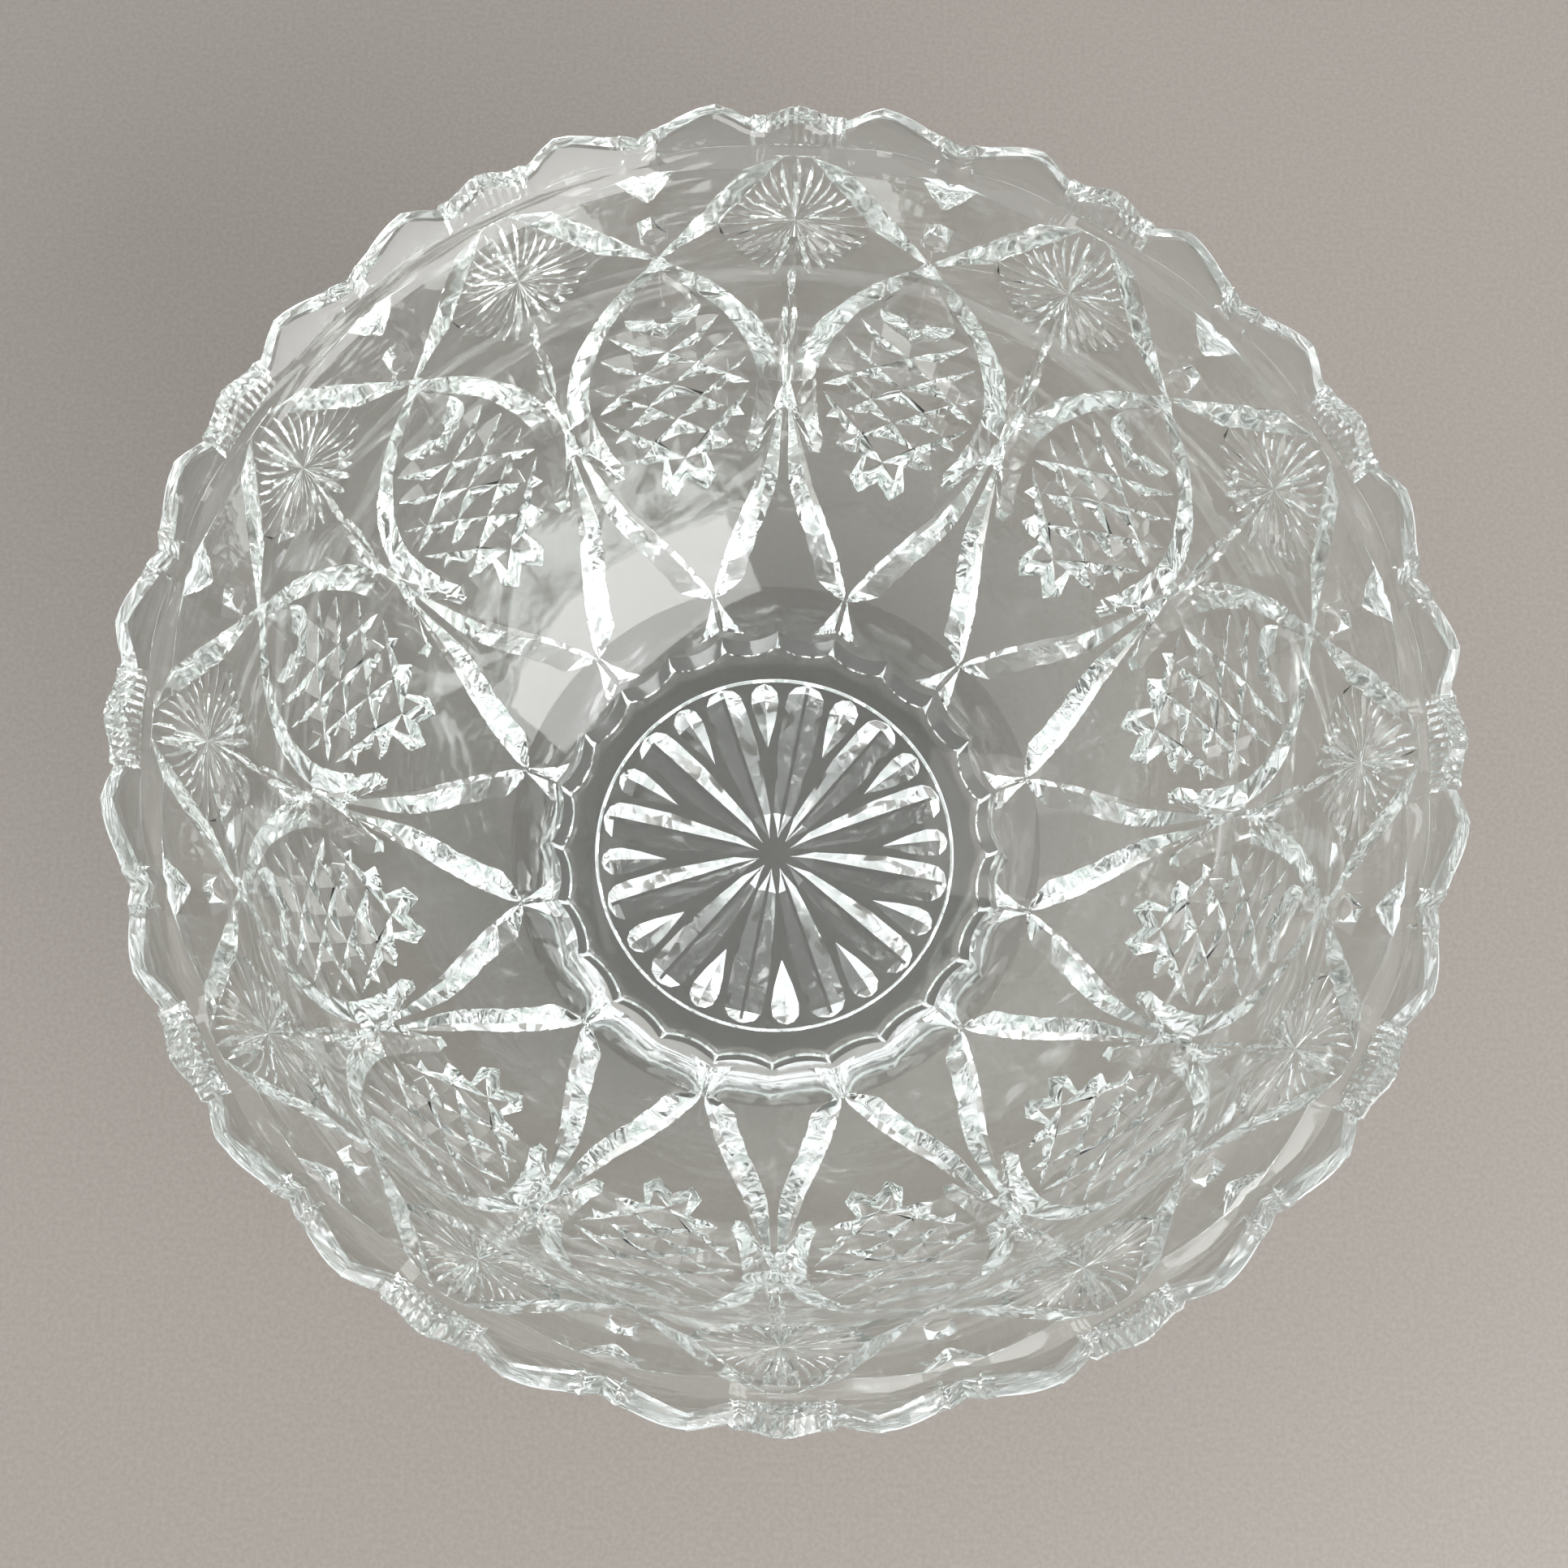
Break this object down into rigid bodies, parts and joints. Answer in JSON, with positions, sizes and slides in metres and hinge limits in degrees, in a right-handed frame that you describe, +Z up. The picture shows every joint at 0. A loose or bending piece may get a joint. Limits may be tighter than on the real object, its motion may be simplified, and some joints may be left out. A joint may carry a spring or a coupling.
{
  "type": "punch bowl",
  "caption": "Round footed punch bowl of clear pressed glass: star-cut base, ovals of hobnail and fan stars around the wall, and a flared rim with scalloped peaks.",
  "frame": {"origin": "centre of the plane the foot rests on", "axes": "+Z up along the bowl's axis; +Y through one of the fan stars on the wall"},
  "size_m": [0.2516, 0.2516, 0.1409],
  "materials": {
    "pressed_glass": "clear, fire-polished pressed glass with a faint grey-green tint"
  },
  "bodies": {
    "root": {"foot_ring": "pressed_glass", "base_plate": "pressed_glass", "lower_bowl": "pressed_glass", "upper_wall": "pressed_glass", "scalloped_rim": "pressed_glass"}
  },
  "joints": []
}
